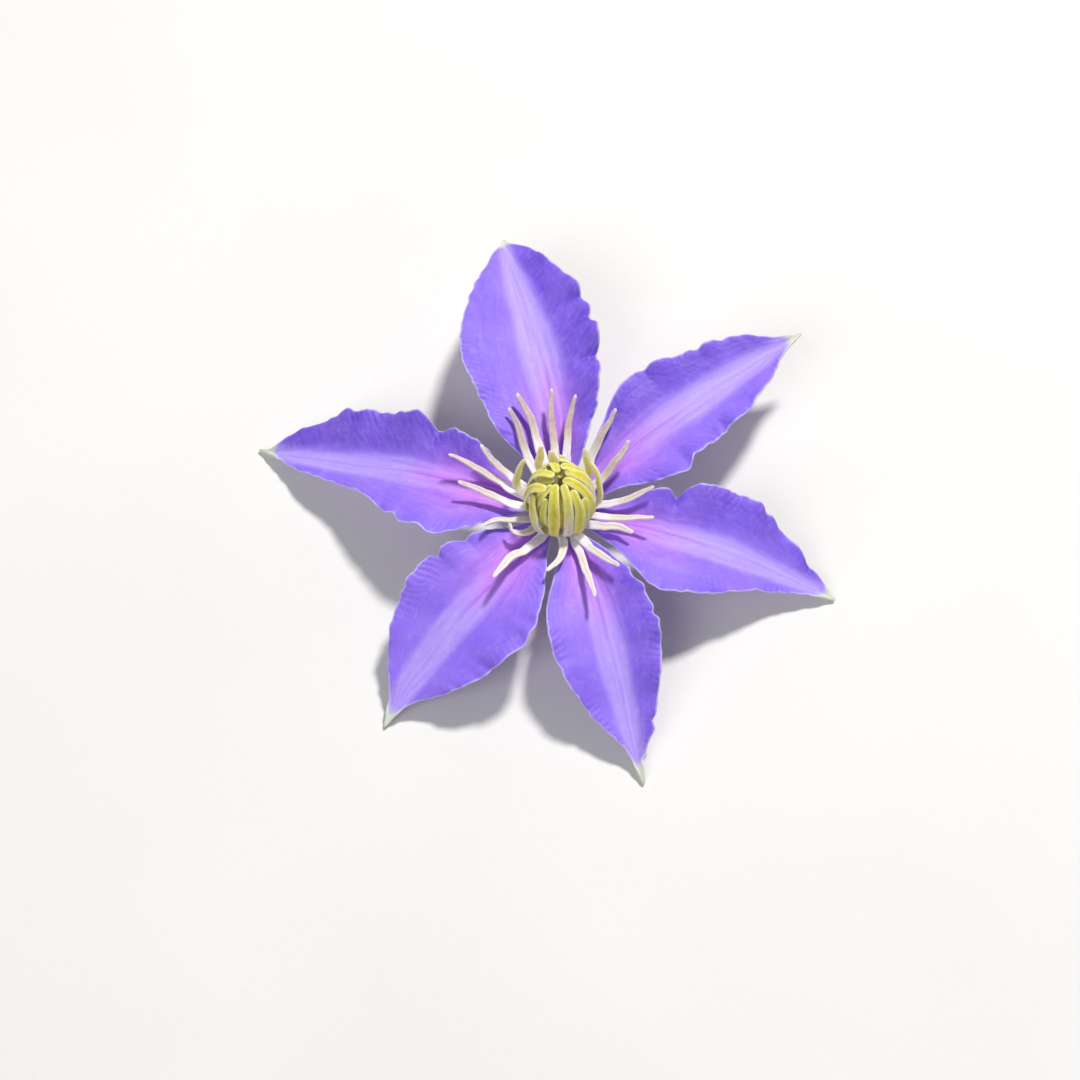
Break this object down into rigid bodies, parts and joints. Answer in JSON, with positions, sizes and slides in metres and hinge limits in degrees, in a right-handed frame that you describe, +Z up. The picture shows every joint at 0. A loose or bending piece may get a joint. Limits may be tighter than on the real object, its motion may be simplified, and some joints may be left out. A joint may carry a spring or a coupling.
{
  "type": "clematis flower",
  "caption": "Single violet-blue clematis flower, as picked, laid face up on a surface: pointed wavy tepals round a crown of stamens on a short bent pedicel.",
  "frame": {"origin": "middle of the flower's footprint, on the surface it lies on", "axes": "+Z up out of the face of the flower, -Y towards the viewer's side of the boss, with the back tepal and the pedicel towards +Y, +X to the flower's right"},
  "size_m": [0.0866, 0.0902, 0.0185],
  "materials": {
    "tepal": "matte",
    "stem": "matte",
    "style": "matte",
    "filament": "matte",
    "anther": "matte"
  },
  "bodies": {
    "root": {"tepal_back": "tepal", "tepal_back_right": "tepal", "tepal_right": "tepal", "tepal_front": "tepal", "tepal_front_left": "tepal", "tepal_left": "tepal", "pedicel_and_receptacle": "stem", "carpels_and_styles": "style", "spreading_stamen_01": "filament", "spreading_stamen_02": "filament", "spreading_stamen_03": "filament", "spreading_stamen_04": "filament", "spreading_stamen_05": "filament", "spreading_stamen_06": "filament", "spreading_stamen_07": "filament", "spreading_stamen_08": "filament", "spreading_stamen_09": "filament", "spreading_stamen_10": "filament", "spreading_stamen_11": "filament", "spreading_stamen_12": "filament", "spreading_stamen_13": "filament", "spreading_stamen_14": "filament", "spreading_stamen_15": "filament", "spreading_stamen_16": "filament", "spreading_stamen_17": "filament", "spreading_stamen_18": "filament", "raised_stamen_1": "filament", "raised_stamen_2": "filament", "raised_stamen_3": "filament", "raised_stamen_4": "filament", "raised_stamen_5": "filament", "raised_stamen_6": "filament", "boss_stamen_a_01": "anther", "boss_stamen_a_02": "anther", "boss_stamen_a_03": "anther", "boss_stamen_a_04": "anther", "boss_stamen_a_05": "anther", "boss_stamen_a_06": "anther", "boss_stamen_a_07": "anther", "boss_stamen_a_08": "anther", "boss_stamen_a_09": "anther", "boss_stamen_a_10": "anther", "boss_stamen_a_11": "anther", "boss_stamen_a_12": "anther", "boss_stamen_a_13": "anther", "boss_stamen_a_14": "anther", "boss_stamen_b_01": "anther", "boss_stamen_b_02": "anther", "boss_stamen_b_03": "anther", "boss_stamen_b_04": "anther", "boss_stamen_b_05": "anther", "boss_stamen_b_06": "anther", "boss_stamen_b_07": "anther", "boss_stamen_b_08": "anther", "boss_stamen_b_09": "anther", "boss_stamen_b_10": "anther", "boss_stamen_b_11": "anther", "boss_stamen_b_12": "anther", "boss_stamen_b_13": "anther"}
  },
  "joints": []
}
